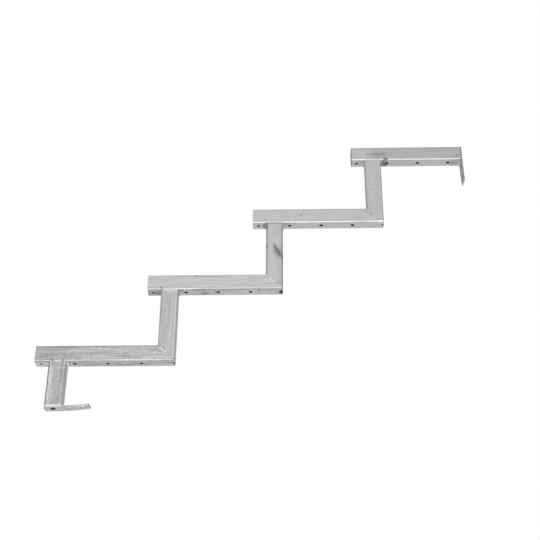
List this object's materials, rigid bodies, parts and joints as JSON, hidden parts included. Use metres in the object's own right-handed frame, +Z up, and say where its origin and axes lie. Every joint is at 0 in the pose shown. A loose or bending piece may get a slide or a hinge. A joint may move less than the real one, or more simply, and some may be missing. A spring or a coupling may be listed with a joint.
{
  "type": "stair stringer",
  "caption": "Zig-zag stair stringer of welded, galvanised rectangular tube, drilled for step boards, with a foot plate for the floor and an end plate for the wall.",
  "frame": {"origin": "on the floor, midway between the two anchor holes in the underside of the foot plate", "axes": "+X along the climb towards the wall plate, +Z up as installed, the flush side faces -Y"},
  "size_m": [1, 0.0316, 0.715],
  "materials": {
    "galvanised_steel": "hot-dip galvanised, light grey, satin with soft streaks",
    "galvanised_weld": "hot-dip galvanised weld metal, rippled"
  },
  "bodies": {
    "root": {"step_tube_1": "galvanised_steel", "step_tube_2": "galvanised_steel", "step_tube_3": "galvanised_steel", "step_tube_4": "galvanised_steel", "riser_tube_1": "galvanised_steel", "riser_tube_2": "galvanised_steel", "riser_tube_3": "galvanised_steel", "leg_tube": "galvanised_steel", "foot_plate": "galvanised_steel", "wall_plate": "galvanised_steel", "foot_weld": "galvanised_weld", "leg_weld": "galvanised_weld", "riser_weld_1": "galvanised_weld", "riser_weld_2": "galvanised_weld", "riser_weld_3": "galvanised_weld", "mitre_weld_1_near": "galvanised_weld", "mitre_weld_1_far": "galvanised_weld", "mitre_weld_2_near": "galvanised_weld", "mitre_weld_2_far": "galvanised_weld", "mitre_weld_3_near": "galvanised_weld", "mitre_weld_3_far": "galvanised_weld", "wall_weld": "galvanised_weld"}
  },
  "joints": []
}
